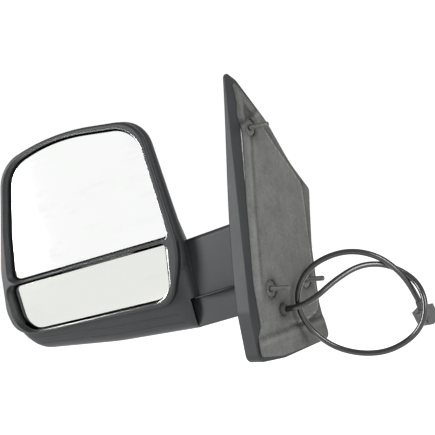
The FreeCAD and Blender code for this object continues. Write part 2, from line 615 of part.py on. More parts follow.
# ---------------------------------------------------------------- glasses
def glass_set(name, outline, recess, centre):
    """Glass, heated pad and carrier of one opening; the carrier has the ears of its cross."""
    back = recess + amount("glass_thickness")
    pane = head_slab(outline, recess, back)
    pane = softened(pane, 0.7, lambda edge: edge.BoundBox.YMax < recess + 0.1)
    shaped(name + "_glass", pane, HEAD)
    pad_back = back + amount("pad_thickness")
    margin = amount("carrier_margin")
    shaped(name + "_glass_pad", head_slab(inset(outline, margin / 2), back, pad_back), HEAD)
    carrier_back = pad_back + amount("carrier_thickness")
    carrier = head_slab(inset(outline, margin), pad_back, carrier_back)
    pivot_depth = recess + amount("pivot_behind")
    ear = amount("ear_radius")
    for side in (-1, 1):
        low = side * amount("ear_inner") if side > 0 else -amount("ear_inner + ear_thickness")
        high = low + amount("ear_thickness")
        lug = box_between((centre[0] - ear, carrier_back - 0.5, centre[1] + low),
                          (centre[0] + ear, pivot_depth, centre[1] + high))
        lug = lug.fuse(Part.makeCylinder(ear, high - low, Vector(centre[0], pivot_depth, centre[1] + low)))
        bore = Part.makeCylinder(amount("cross_radius + pivot_clearance"), high - low + 2,
                                 Vector(centre[0], pivot_depth, centre[1] + low - 1))
        carrier = carrier.fuse(lug).cut(bore)
    return carrier, carrier_back, pivot_depth


def cross(name, centre, depth):
    """The cross of a universal joint: two shafts at right angles through one core."""
    reach = amount("cross_reach")
    core = amount("cross_core")
    spot = Vector(centre[0], depth, centre[1])
    shape = Part.makeCylinder(amount("cross_radius"), 2 * reach, spot - Vector(reach, 0, 0), Vector(1, 0, 0))
    shape = shape.fuse(Part.makeCylinder(amount("cross_radius"), 2 * reach, spot - Vector(0, 0, reach)))
    shape = shape.fuse(box_between(spot - Vector(core, core, core), spot + Vector(core, core, core)))
    shaped(name, shape, HEAD)


def fixed_ears(centre, depth, foot):
    """Two ears for the cross's level shaft, standing on a foot behind it (HEAD axes)."""
    ear = amount("ear_radius")
    result = None
    for side in (-1, 1):
        low = amount("ear_inner") if side > 0 else -amount("ear_inner + ear_thickness")
        high = low + amount("ear_thickness")
        lug = box_between((centre[0] + low, depth, centre[1] - ear),
                          (centre[0] + high, foot, centre[1] + ear))
        along = Vector(centre[0] + low, depth, centre[1])
        lug = lug.fuse(Part.makeCylinder(ear, high - low, along, Vector(1, 0, 0)))
        along.x -= 1
        bore = Part.makeCylinder(amount("cross_radius + pivot_clearance"), high - low + 2, along,
                                 Vector(1, 0, 0))
        lug = lug.cut(bore)
        result = lug if result is None else result.fuse(lug)
    return result


upper_pivot = (amount("upper_pivot_across"), amount("upper_pivot_height"))
lower_pivot = (amount("lower_pivot_across"), amount("lower_pivot_height"))
lever = amount("screw_lever")
carrier, carrier_back, upper_depth = glass_set("upper", UPPER_GLASS, amount("upper_recess"), upper_pivot)
cup_inner = amount("ball_radius + cup_gap")
cup_outer = cup_inner + amount("cup_wall")
tilt_spot = (upper_pivot[0], upper_pivot[1] + lever)
pan_spot = (upper_pivot[0] + lever, upper_pivot[1])
for across, up in (tilt_spot, pan_spot):
    cup = Part.makeCylinder(cup_outer, upper_depth + amount("ball_radius") - carrier_back,
                            Vector(across, carrier_back, up), into_head)
    hole = Part.makeCylinder(cup_inner, DRILL,
                             Vector(across, upper_depth - amount("ball_radius") - 1, up), into_head)
    carrier = carrier.fuse(cup).cut(hole)
shaped("upper_carrier", carrier, HEAD)
cross("upper_cross", upper_pivot, upper_depth)
carrier, carrier_back, lower_depth = glass_set("lower", LOWER_GLASS, amount("lower_recess"), lower_pivot)
shaped("lower_carrier", carrier, HEAD)
cross("lower_cross", lower_pivot, lower_depth)

# ---------------------------------------------------------------- actuator behind the upper glass
case_front = plate_low - amount("case_depth")
lid_front = case_front - amount("lid_thickness")
case_place = in_head(*upper_pivot, case_front)
case = new_body("actuator_case")
case_rise = "(screw_lever + gear_radius + gear_case_gap + case_wall)"
case_corners = [("-case_width / 2", "-" + case_rise), ("case_width / 2", "-" + case_rise),
                ("case_width / 2", case_rise), ("-case_width / 2", case_rise)]
pad = feature_of(case, "Pad", outline_sketch(case, "XY_Plane", case_corners), "case_depth")
doc.recompute()
upright = ["Edge%d" % (index + 1) for index, edge in enumerate(pad.Shape.Edges) if edge.BoundBox.ZLength > 1]
rounding = case.newObject("PartDesign::Fillet", "actuator_case_fillet")
rounding.Base = (pad, upright)
rounding.setExpression("Radius", formula("case_corner"))
case.Tip = rounding
inner_corners = [("-case_width / 2 + case_wall", "case_wall - " + case_rise),
                 ("case_width / 2 - case_wall", "case_wall - " + case_rise),
                 ("case_width / 2 - case_wall", case_rise + " - case_wall"),
                 ("-case_width / 2 + case_wall", case_rise + " - case_wall")]
cavity = feature_of(case, "Pocket", outline_sketch(case, "XY_Plane", inner_corners), "case_depth - case_wall")
cavity.Reversed = True
keep(case, "actuator_case", case_place)

ears = fixed_ears(upper_pivot, upper_depth, lid_front)
holes_at = [tilt_spot, pan_spot]
half_width = amount("case_width") / 2
half_height = amount(case_rise)
lid_shape = box_between((upper_pivot[0] - half_width, lid_front, upper_pivot[1] - half_height),
                        (upper_pivot[0] + half_width, case_front, upper_pivot[1] + half_height))
lid_shape = softened(lid_shape, amount("case_corner"), lambda edge: edge.BoundBox.YLength > 1)
for across, up in holes_at:
    lid_shape = lid_shape.cut(Part.makeCylinder(amount("screw_radius") + 0.4, 20,
                                                Vector(across, lid_front - 5, up), Vector(0, 1, 0)))
shaped("actuator_lid", lid_shape.fuse(ears).removeSplitter(), HEAD)


def toothed(name, place):
    """A worm wheel: a turned disc with tooth gaps cut round its rim."""
    wheel = new_body(name)
    disc = ring_corners("screw_radius + pivot_clearance", "gear_radius", 0, "gear_height")
    feature_of(wheel, "Revolution", outline_sketch(wheel, "XZ_Plane", disc))
    doc.recompute()
    whole = wheel.Shape.Volume
    gap = [("gear_radius - tooth_depth", "-tooth_gap_root"), ("gear_radius + 1", "-tooth_gap_tip"),
           ("gear_radius + 1", "tooth_gap_tip"), ("gear_radius - tooth_depth", "tooth_gap_root")]
    notch = feature_of(wheel, "Pocket", outline_sketch(wheel, "XY_Plane", gap), "gear_height", True)
    ring_of_notches = wheel.newObject("PartDesign::PolarPattern", name + "_teeth")
    ring_of_notches.Originals = [notch]
    ring_of_notches.Axis = (next(axis for axis in wheel.Origin.OriginFeatures if axis.Role == "Z_Axis"), [""])
    ring_of_notches.Angle = 360
    ring_of_notches.setExpression("Occurrences", formula("gear_teeth"))
    wheel.Tip = ring_of_notches
    doc.recompute()
    if wheel.Shape.Volume > whole * 0.995:
        raise ValueError(name + ": the tooth gaps cut nothing")
    keep(wheel, name, place)


def drive_screw(name, across, up):
    """A ball-ended screw that pushes one side of the upper carrier."""
    ball = doc.addObject("Part::Sphere", name + "_ball")
    ball.setExpression("Radius", formula("ball_radius"))
    neck = doc.addObject("Part::Cylinder", name + "_neck")
    neck.setExpression("Radius", formula("ball_radius * neck_share"))
    neck.Height = case_front - upper_depth - 6
    shank = doc.addObject("Part::Cylinder", name + "_shank")
    shank.setExpression("Radius", formula("screw_radius"))
    shank.setExpression("Height", formula("screw_shank_length"))
    shank.Placement = Placement(Vector(0, 0, case_front - upper_depth - 7), Rotation())
    screw = doc.addObject("Part::MultiFuse", name)
    screw.Shapes = [ball, neck, shank]
    keep(screw, name, in_head(across, up, upper_depth))


gear_front = case_front + amount("gear_depth")
axis_depth = gear_front + amount("gear_height") / 2
reach = amount("gear_radius + worm_radius + mesh_gap")
ALONG_HEAD = Rotation(Vector(0, 1, 0), 90)
worm_corners = [("motor_radius / 6", "-worm_length / 2")]
for ridge in range(4):
    low = "-worm_length / 2 + worm_length * %d / 4" % ridge
    worm_corners += [("worm_radius - 1.2", low + " + 0.2"), ("worm_radius", low + " + worm_length / 12"),
                     ("worm_radius", low + " + worm_length / 6")]
worm_corners += [("worm_radius - 1.2", "worm_length / 2 - 0.2"), ("motor_radius / 6", "worm_length / 2")]
motor_end = "-worm_length / 2 - motor_length"
motor_corners = [(0, motor_end + " - 4"), ("motor_radius", motor_end + " - 4"),
                 ("motor_radius", "-worm_length / 2 - 5"), ("motor_radius / 3", "-worm_length / 2 - 4"),
                 ("motor_radius / 3", "-worm_length / 2 - 2"), ("motor_radius / 6", "-worm_length / 2 - 2"),
                 ("motor_radius / 6", "worm_length / 2"), (0, "worm_length / 2")]
for name, spot in (("tilt", tilt_spot), ("pan", pan_spot)):
    toothed(name + "_gear", in_head(spot[0], spot[1], gear_front))
    drive_screw(name + "_screw", *spot)
    axis = HEAD * Placement(Vector(spot[0], axis_depth, spot[1] - reach), ALONG_HEAD)
    turned(name + "_worm", worm_corners, axis)
    turned(name + "_motor", motor_corners, axis)

# ---------------------------------------------------------------- head: frame and mounts
PLATE = head_outline([(90, -10, 10), (84, 160, 18), (-30, 164, 18), (-62, 110, 40), (-72, 40, 14),
                      (-58, 4, 14)])
PLATE_WINDOW = head_outline([(32, 30, 8), (72, 30, 8), (72, 70, 8), (32, 70, 8)])
bracket = head_slab(PLATE, plate_low, plate_high)
bracket = bracket.cut(head_slab(PLATE_WINDOW, plate_low - 1, plate_high + 1))
hub_bottom = amount("arm_top") + amount(hub_low)
hub_top = hub_bottom + amount("hub_height")
beam = box_between((FOLD.Base.x - amount("beam_reach"), FOLD.Base.y - amount("beam_rear"), hub_bottom + 2),
                   (FOLD.Base.x - amount("beam_foot"), FOLD.Base.y + amount("beam_front"), hub_top))
hub = about_fold(amount("hub_radius"), hub_bottom, hub_top).fuse(beam)
hub = hub.cut(about_fold(amount("bush_radius"), hub_bottom - 1, hub_top + 1))
bracket = bracket.fuse(seen_from(HEAD, hub)).removeSplitter()
for across, up in BOSSES:
    bracket = bracket.cut(Part.makeCylinder(amount("screw_shank"), 2 * DRILL,
                                            Vector(across * wide, plate_low - DRILL, up * tall), into_head))
shaped("head_frame", bracket, HEAD)
shell_screw = [(0, "-screw_head_height"), ("screw_head", "-screw_head_height"), ("screw_head", 0),
               ("screw_shank", 0), ("screw_shank", "screw_length"), (0, "screw_length")]
copies("housing_screws", shell_screw, [in_head(across * wide, up * tall, plate_low) for across, up in BOSSES])

foot_depth = lower_depth + amount("mount_reach")
mount = fixed_ears(lower_pivot, lower_depth, foot_depth)
mount_foot = Vector(lower_pivot[0], foot_depth, lower_pivot[1])
disc = Part.makeCylinder(amount("mount_disc_radius"), amount("mount_disc_thickness"), mount_foot, into_head)
stem = Part.makeCylinder(amount("mount_stem_radius"), plate_low - foot_depth, mount_foot, into_head)
shaped("lower_mount", mount.fuse(disc).fuse(stem).removeSplitter(), HEAD)


# ---------------------------------------------------------------- leads and plug
def lead_tube(points, diameter, bend=None):
    """A round lead: straight runs joined by tangent arcs; returns the solid and its length."""
    corners = [Vector(*point) for point in points]
    arcs = []
    for before, here, after in zip(corners, corners[1:], corners[2:]):
        back = before - here
        ahead = after - here
        turn = math.pi - back.getAngle(ahead)
        radius = bend or 0.45 * min(back.Length, ahead.Length) / math.tan(turn / 2)
        back.normalize()
        ahead.normalize()
        reach = radius * math.tan(turn / 2)
        inward = (back + ahead).normalize() * (radius / math.cos(turn / 2) - radius)
        arcs.append((here + back * reach, here + inward, here + ahead * reach, radius))
    edges = []
    start = corners[0]
    for first, middle, last, _ in arcs:
        edges.append(Part.LineSegment(start, first).toShape())
        edges.append(Part.Arc(first, middle, last).toShape())
        start = last
    edges.append(Part.LineSegment(start, corners[-1]).toShape())
    path = Part.Wire(edges)
    ring = Part.Circle(corners[0], corners[1] - corners[0], diameter / 2).toShape()
    tube = path.makePipeShell([Part.Wire([ring])], True, False)
    exact = math.pi * diameter ** 2 / 4 * path.Length
    if abs(tube.Volume - exact) > 0.01 * exact:
        raise ValueError("a lead's volume is not its section times its length")
    print("lead length %.1f, bend radii %s" % (path.Length, " ".join("%.0f" % arc[3] for arc in arcs)))
    return tube, path.Length


ROUTE = [(-11.1, -20, -22.4), (10.6, -20, -26.2), (31.5, -10.5, -22), (51, 9, -10), (72, 30, -3),
         (90, 48, -9), (105, 58, -23), (118, 59, -40), (123.5, 52, -60), (116.5, 48, -80), (98, 45, -95),
         (70, 36, -102),
         (43, 25, -96), (19, 14, -80), (5, 5, -56), (4, -6, -31), (10, -5, -7), (25, 8, 11), (48, 20, 17),
         (71, 31, 14), (92, 42, 0), (104, 52, -21), (108, 61, -42), (108.5, 66, -60)]
cord, _ = lead_tube(ROUTE, amount("lead_diameter"))
shaped("harness_lead", cord)
bend = amount("inner_lead_diameter") * 0.8
entry = DOOR.multVec(Vector(gasket_back - amount("frame_thickness"), *outlet))
turn_up = DOOR.multVec(Vector(-amount("outlet_turn_depth"), *outlet))
level = (turn_up.x + 1.5, FOLD.Base.y, lead_level)
base_lead, _ = lead_tube([entry, turn_up, level, (FOLD.Base.x, FOLD.Base.y, lead_level),
                          (FOLD.Base.x, FOLD.Base.y, amount("arm_top + post_height") - 1)],
                         amount("inner_lead_diameter"), bend)
shaped("base_lead", base_lead)
case_side = upper_pivot[0] + half_width
head_level = block_roof - amount("head_lead_drop")
entry_depth = case_front + amount("case_entry_depth")
entry_height = amount("case_entry_height")
head_lead, _ = lead_tube([(FOLD.Base.x, FOLD.Base.y, amount("arm_top + post_height") + 1),
                          (FOLD.Base.x, FOLD.Base.y, head_level),
                          (FOLD.Base.x - amount("head_lead_reach"), FOLD.Base.y + 1, head_level),
                          HEAD.multVec(Vector(case_side + 16, entry_depth, entry_height)),
                          HEAD.multVec(Vector(case_side, entry_depth, entry_height))],
                         amount("inner_lead_diameter"), bend)
shaped("head_lead", head_lead)

finish = Vector(*ROUTE[-1])
PLUG = Placement(finish, Rotation(Vector(0, 0, 1), finish - Vector(*ROUTE[-2])))
turned("plug_boot", [(0, 0), ("boot_radius - 1", 0), ("boot_radius", "boot_length"), (0, "boot_length")],
       PLUG)
plug = new_body("plug_body")
half = [("-plug_width / 2", "-plug_height / 2"), ("plug_width / 2", "-plug_height / 2"),
        ("plug_width / 2", "plug_height / 2"), ("-plug_width / 2", "plug_height / 2")]
feature_of(plug, "Pad", outline_sketch(plug, "XY_Plane", half), "plug_length")
socket = [(across.replace("2", "2 %s plug_wall" % ("+" if across[0] == "-" else "-")),
           up.replace("2", "2 %s plug_wall" % ("+" if up[0] == "-" else "-"))) for across, up in half]
opening = outline_sketch(plug, "XY_Plane", socket, "plug_length")
feature_of(plug, "Pocket", opening, "plug_cavity")
plug_place = PLUG * Placement(Vector(0, 0, amount("boot_length")), Rotation())
keep(plug, "plug_body", plug_place)
pins = []
for across in (-1.5, -0.5, 0.5, 1.5):
    for up in (-0.5, 0.5):
        pins.append(plug_place * Placement(Vector(across * amount("pin_pitch"), up * amount("pin_row"),
                                             amount("plug_length - plug_cavity")), Rotation()))
copies("plug_terminals", [(0, 0), ("pin_width / 2", 0), ("pin_width / 2", "pin_length - 0.5"),
                          (0, "pin_length")], pins)
latch = new_body("plug_latch")
tongue = [("plug_height / 2", "2"), ("plug_height / 2 + 1.2", "2"), ("plug_height / 2 + 3.2", "5"),
          ("plug_height / 2 + 1.6", "5.6"), ("plug_height / 2 + 1.2", "plug_length - 3"),
          ("plug_height / 2", "plug_length - 3")]
feature_of(latch, "Pad", outline_sketch(latch, "YZ_Plane", tongue), "plug_width * 0.4").Midplane = True
keep(latch, "plug_latch", plug_place)

# ---------------------------------------------------------------- checks and files
doc.recompute()
for item in doc.Objects:
    if "Invalid" in item.State or "Error" in item.State:
        raise ValueError("%s did not recompute: %s" % (item.Name, item.State))
for item in nodes:
    if item.Shape.isNull() or not item.Shape.isValid() or not item.Shape.Solids:
        raise ValueError(item.Label + " has no valid solid")
for item in nodes:
    item.Shape.exportStep("parts/%s.step" % item.Label)
    box = item.Shape.BoundBox
    print("%-18s solids %d volume %9.0f  x %.0f..%.0f  y %.0f..%.0f  z %.0f..%.0f" % (
        item.Label, len(item.Shape.Solids), item.Shape.Volume, box.XMin, box.XMax, box.YMin, box.YMax,
        box.ZMin, box.ZMax))
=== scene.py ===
import json
import math

import bmesh
import bpy
from mathutils import Matrix, Vector, geometry, noise


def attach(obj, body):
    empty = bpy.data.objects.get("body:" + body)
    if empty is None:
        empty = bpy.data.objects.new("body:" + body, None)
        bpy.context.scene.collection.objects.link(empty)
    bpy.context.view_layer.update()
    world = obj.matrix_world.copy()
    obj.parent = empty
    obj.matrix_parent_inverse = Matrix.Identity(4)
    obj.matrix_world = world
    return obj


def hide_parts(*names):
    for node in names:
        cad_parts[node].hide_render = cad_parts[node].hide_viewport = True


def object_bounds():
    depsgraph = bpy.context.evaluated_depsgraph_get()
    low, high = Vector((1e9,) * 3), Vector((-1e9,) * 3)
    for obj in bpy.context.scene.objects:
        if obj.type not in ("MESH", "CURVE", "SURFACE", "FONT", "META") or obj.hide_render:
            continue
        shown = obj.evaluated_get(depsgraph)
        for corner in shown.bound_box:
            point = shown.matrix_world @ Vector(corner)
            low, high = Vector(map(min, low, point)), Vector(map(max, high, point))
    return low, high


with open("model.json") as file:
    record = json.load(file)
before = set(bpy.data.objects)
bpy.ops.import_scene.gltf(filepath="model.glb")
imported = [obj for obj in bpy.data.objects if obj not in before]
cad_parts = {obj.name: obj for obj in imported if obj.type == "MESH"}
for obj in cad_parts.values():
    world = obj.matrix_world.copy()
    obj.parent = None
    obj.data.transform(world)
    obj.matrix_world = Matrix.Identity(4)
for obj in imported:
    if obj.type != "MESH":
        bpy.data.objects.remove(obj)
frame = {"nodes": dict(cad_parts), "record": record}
cadBox = [list(corner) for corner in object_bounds()]
nodes = frame["nodes"]
mm = 0.001
print("frame: %d nodes" % len(nodes))

# the door leans ten degrees in; the head is turned fourteen degrees to the driver
doorLean = math.radians(10)
headTurn = math.radians(14)
doorAxes = Matrix.Rotation(doorLean, 4, "Y")
headAxes = Matrix.Translation((-0.190, -0.102, 0.030)) @ Matrix.Rotation(headTurn, 4, "Z")

# camera
viewSettings = {"place": (0.605502, -0.923984, 0.036515), "azimuth": 36, "elevation": -3, "roll": 18,
                "lens": 82.76, "sensor": 36, "near": 0.05}


def makeCamera(spec):
    lens = bpy.data.cameras.new("camera")
    lens.lens = spec["lens"]
    lens.sensor_width = spec["sensor"]
    lens.clip_start = spec["near"]
    camera = bpy.data.objects.new("camera", lens)
    bpy.context.scene.collection.objects.link(camera)
    turn = Matrix.Rotation(math.radians(spec["azimuth"]), 4, "Z")
    tip = Matrix.Rotation(math.radians(90 - spec["elevation"]), 4, "X")
    roll = Matrix.Rotation(math.radians(-spec["roll"]), 4, "Z")
    camera.matrix_world = Matrix.Translation(spec["place"]) @ turn @ tip @ roll
    bpy.context.scene.camera = camera


makeCamera(viewSettings)

# the lead: its route, in metres, from inside the grommet round to the plug
leadSpec = {"diameter": 0.0065, "length": 0.582, "lay": "loose", "stiffness": "medium"}
leadRoute = [(-0.0111, -0.020, -0.0224), (0.0106, -0.020, -0.0262), (0.0315, -0.0105, -0.022),
             (0.051, 0.009, -0.010), (0.072, 0.030, -0.003), (0.090, 0.048, -0.009), (0.105, 0.058, -0.023),
             (0.118, 0.059, -0.040), (0.1235, 0.052, -0.060), (0.1165, 0.048, -0.080), (0.098, 0.045, -0.095),
             (0.070, 0.036, -0.102), (0.043, 0.025, -0.096), (0.019, 0.014, -0.080), (0.005, 0.005, -0.056),
             (0.004, -0.006, -0.031), (0.010, -0.005, -0.007), (0.025, 0.008, 0.011), (0.048, 0.020, 0.017),
             (0.071, 0.031, 0.014), (0.092, 0.042, 0.000), (0.104, 0.052, -0.021), (0.108, 0.061, -0.042),
             (0.1085, 0.066, -0.060)]


def makeLead(spec, route):
    data = bpy.data.curves.new("lead", "CURVE")
    data.dimensions = "3D"
    data.resolution_u = 24
    data.bevel_depth = 1
    data.bevel_resolution = 8
    data.use_fill_caps = True
    line = data.splines.new("NURBS")
    line.points.add(len(route) - 1)
    for point, place in zip(line.points, route):
        point.co = (*place, 1)
        point.radius = spec["diameter"] / 2
    line.order_u = 3
    line.use_endpoint_u = True
    lead = bpy.data.objects.new("lead", data)
    bpy.context.scene.collection.objects.link(lead)
    return lead


lead = makeLead(leadSpec, leadRoute)
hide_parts("harness_lead")
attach(lead, "base")
print("lead laid")


# helpers for meshes
def smoothstep(low, high, value):
    share = min(max((value - low) / (high - low), 0), 1)
    return share * share * (3 - 2 * share)


def newPiece(name, mesh, body, smooth=True):
    piece = bpy.data.objects.new(name, mesh)
    bpy.context.scene.collection.objects.link(piece)
    for face in mesh.polygons:
        face.use_smooth = smooth
    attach(piece, body)
    return piece


def roundedOutline(corners, step=1.5):
    # corners are (across, up, radius); the line comes back as points, a step apart at most
    ends = []
    for index, (across, up, radius) in enumerate(corners):
        here = Vector((across, up))
        before = (Vector(corners[index - 1][:2]) - here).normalized()
        after = (Vector(corners[(index + 1) % len(corners)][:2]) - here).normalized()
        turn = math.pi - before.angle(after)
        reach = radius * math.tan(turn / 2)
        centre = here + (before + after).normalized() * (radius / math.cos(turn / 2))
        first = here + before * reach - centre
        count = max(3, int(radius * turn / step))
        last = here + after * reach - centre
        sense = 1 if first.x * last.y > first.y * last.x else -1
        for part in range(count + 1):
            angle = sense * turn * part / count
            ends.append(centre + Matrix.Rotation(angle, 2) @ first)
    points = []
    for index, here in enumerate(ends):
        other = ends[(index + 1) % len(ends)]
        count = max(1, round((other - here).length / step))
        points += [here.lerp(other, part / count) for part in range(count)]
    return points


def tube(name, points, radius, closed=False):
    # a thin round bead along points, as a mesh
    data = bpy.data.curves.new(name, "CURVE")
    data.dimensions = "3D"
    data.bevel_depth = radius
    data.bevel_resolution = 3
    data.use_fill_caps = not closed
    line = data.splines.new("POLY")
    line.points.add(len(points) - 1)
    for point, place in zip(line.points, points):
        point.co = (*place, 1)
    line.use_cyclic_u = closed
    holder = bpy.data.objects.new(name + "Line", data)
    mesh = bpy.data.meshes.new_from_object(holder)
    bpy.data.objects.remove(holder)
    return mesh


def joined(name, meshes):
    whole = bmesh.new()
    for mesh in meshes:
        whole.from_mesh(mesh)
    result = bpy.data.meshes.new(name)
    whole.to_mesh(result)
    whole.free()
    return result


def turnedMesh(name, profile, axes, count, wobble=None, hollow=False):
    # profile is (radius, height); wobble changes a radius by angle and height; hollow leaves a bore
    build = bmesh.new()
    rings = []
    for radius, height in profile:
        ring = []
        for index in range(count):
            angle = 2 * math.pi * index / count
            here = radius + (wobble(angle, height) if wobble else 0)
            place = Vector((here * math.cos(angle), here * math.sin(angle), height))
            ring.append(build.verts.new(axes @ place))
        rings.append(ring)
    for low, high in zip(rings, rings[1:] + rings[:1] if hollow else rings[1:]):
        for index in range(count):
            other = (index + 1) % count
            build.faces.new((low[index], low[other], high[other], high[index]))
    if not hollow:
        build.faces.new(list(reversed(rings[0])))
        build.faces.new(rings[-1])
    bmesh.ops.recalc_face_normals(build, faces=build.faces)
    result = bpy.data.meshes.new(name)
    build.to_mesh(result)
    build.free()
    return result


# threaded studs
studSpec = {"places": ((-24, 176), (-36.5, 2), (36.5, -2)), "radius": 2.98, "root": 2.52, "pitch": 1.0,
            "length": 22, "start": -0.6, "rowsPerMm": 9, "sides": 36, "runOut": 1.2, "plainEnd": 0.8,
            "chamfer": ((0.35, 0.35), (0.8, 0.05)), "tip": 0.4}


def studAxes(forward, up):
    into = Matrix.Rotation(math.radians(90), 4, "Y")
    return doorAxes @ Matrix.Translation((0, forward * mm, up * mm)) @ into @ Matrix.Scale(mm, 4)


def threadedStud(spec, place):
    def ridge(angle, height):
        phase = (height / spec["pitch"] + angle / (2 * math.pi)) % 1
        fade = smoothstep(spec["length"], spec["length"] - spec["runOut"], height)
        return (abs(phase * 2 - 1) - 1) * (spec["radius"] - spec["root"]) * fade

    rows = int((spec["length"] - spec["start"] - spec["plainEnd"]) * spec["rowsPerMm"])
    profile = [(spec["radius"], spec["start"] + row / spec["rowsPerMm"]) for row in range(rows)]
    profile += [(spec["radius"] - narrower, spec["length"] - lower) for narrower, lower in spec["chamfer"]]
    profile.append((spec["tip"], spec["length"]))
    return turnedMesh("stud", profile, studAxes(*place), spec["sides"], ridge)


studMeshes = [threadedStud(studSpec, place) for place in studSpec["places"]]
studs = newPiece("threadedStuds", joined("threadedStuds", studMeshes), "base")
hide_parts("mount_studs")

# foam pad on the door side
foamShape = {
    "outline": [(-42, 229, 3), (-39, 204, 8), (-43, 192, 6), (-38, 172, 30), (-52, 102, 200), (-66, 15, 60),
                (-66, -33, 6), (-74, -42, 7), (-76, -63, 6), (-34, -72, 40), (68, -76, 6), (59, -34, 60),
                (64, 34, 120), (79, 97, 6), (48, 129, 150), (13, 180, 90), (-31, 221, 4)],
    "border": [(-37, 187, 4), (-64, -29, 5), (18, -46, 20), (53, -40, 12), (55, 30, 90), (61, 104, 8),
               (-15, 192, 6)],
    "studHole": 9.7, "outlet": (-20, -24), "outletHole": 6.5, "holeSides": 28, "grid": 2.6, "thickness": 3,
    "flange": -1.75, "cushion": -0.45, "highest": -0.02, "thinnest": 0.35}
# a swell is (size, middle, width) and a dip is (size, start, fade)
foamLines = {"ledgeSlope": 0.04, "stepHeight": 190, "stepSlope": 0.35}
foamRelief = {
    "cushionEdge": (-3.2, 1.2), "bead": (0.42, 0.9, 1.1),
    "ledge": 1.25, "ledgeBand": (-45, -52), "ledgeEnd": (1, -4),
    "rearSwell": (0.9, 9, 4.5), "rear": (10, -30), "upper": (-30, 20),
    "stepSwell": (0.8, 0, 3.5), "stepEnd": (40, -20),
    "studDip": (0.55, foamShape["studHole"], 3), "outletDip": (1.5, 8, 6),
    "waves": ((0.5, 3, 23), (0.22, 9, 7)), "roundOff": (1.1, 3)}
# painted light and shade for the foam's colour: paler bands are painted highlights on the bead, rear swell,
# ledge and step; darker ones are painted shade in the crease, on the flange, beyond the step and round the
# holes
foamTones = {
    "plain": 0.5, "front": (-20, 10), "upper": (-20, 30),
    "bead": (0.45, 0.6, 0.9), "crease": (0.22, -2.6, 1.6), "flange": (0.12, -3),
    "rearHighlight": (0.16, 8, 3), "rearShade": (0.2, 13, 3),
    "ledgeHighlight": (0.16, -53, 2), "ledgeShade": (0.24, -47, 2.2),
    "stepHighlight": (0.2, 1, 1.6), "stepShade": (0.26, 5.5, 3), "tip": (0.15, 3, 12),
    "studShade": (0.3, foamShape["studHole"], 3.5), "outletShade": (0.3, 7, 6)}


def insideLine(spot, line):
    inside = False
    for index, here in enumerate(line):
        last = line[index - 1]
        if (here.y > spot.y) != (last.y > spot.y):
            if spot.x < (last.x - here.x) * (spot.y - here.y) / (last.y - here.y) + here.x:
                inside = not inside
    return inside


def distanceTo(spot, line):
    best = 1e9
    for index, here in enumerate(line):
        last = line[index - 1]
        along = here - last
        share = min(max((spot - last).dot(along) / max(along.length_squared, 1e-9), 0), 1)
        best = min(best, (spot - last - along * share).length_squared)
    return math.sqrt(best)


def swell(shape, value):
    size, middle, width = shape
    return size * math.exp(-((value - middle) / width) ** 2)


def dip(shape, spot, centre):
    size, start, fade = shape
    return size * math.exp(-max((spot - Vector(centre)).length - start, 0) / fade)


def inwardOf(spot, border):
    return distanceTo(spot, border) * (1 if insideLine(spot, border) else -1)


def ledgeLine(spot):
    return spot.y + spot.x * foamLines["ledgeSlope"]


def stepLine(spot):
    return spot.y - foamLines["stepHeight"] - spot.x * foamLines["stepSlope"]


def foamHeight(spec, spot, edge, border):
    relief = foamRelief
    inner = inwardOf(spot, border)
    height = spec["flange"] + (spec["cushion"] - spec["flange"]) * smoothstep(*relief["cushionEdge"], inner)
    height += swell(relief["bead"], inner)
    ledge = relief["ledge"] * smoothstep(*relief["ledgeBand"], ledgeLine(spot))
    height += ledge * smoothstep(*relief["ledgeEnd"], inner)
    rear = swell(relief["rearSwell"], edge) * smoothstep(*relief["rear"], spot.x)
    height += rear * smoothstep(*relief["upper"], spot.y)
    height += swell(relief["stepSwell"], stepLine(spot)) * smoothstep(*relief["stepEnd"], spot.x)
    for hole in studSpec["places"]:
        height -= dip(relief["studDip"], spot, hole)
    height -= dip(relief["outletDip"], spot, spec["outlet"])
    height += sum(size * noise.noise(Vector((spot.x, spot.y, layer)) / length)
                  for size, layer, length in relief["waves"])
    size, reach = relief["roundOff"]
    height -= size * (1 - smoothstep(0, reach, edge)) ** 2
    return min(max(height, spec["thinnest"] - spec["thickness"]), spec["highest"])


def foamShade(spec, spot, edge, border):
    # half is the plain colour; more is a painted highlight, less is painted shade
    tones = foamTones
    inner = inwardOf(spot, border)
    front = smoothstep(*tones["front"], spot.x)
    upper = smoothstep(*tones["upper"], spot.y)
    shade = tones["plain"] + swell(tones["bead"], inner) * front
    shade -= swell(tones["crease"], inner) * front
    size, reach = tones["flange"]
    shade -= size * smoothstep(0, reach, inner) * front
    shade += swell(tones["rearHighlight"], edge) * (1 - front) * upper
    shade -= swell(tones["rearShade"], edge) * (1 - front) * upper
    ledge = ledgeLine(spot)
    shade += swell(tones["ledgeHighlight"], ledge) - swell(tones["ledgeShade"], ledge)
    step = stepLine(spot)
    shade += swell(tones["stepHighlight"], step) - swell(tones["stepShade"], step)
    size, low, high = tones["tip"]
    shade -= size * smoothstep(low, high, step)
    for hole in studSpec["places"]:
        shade -= dip(tones["studShade"], spot, hole)
    shade -= dip(tones["outletShade"], spot, spec["outlet"])
    return min(max(shade, 0), 1)


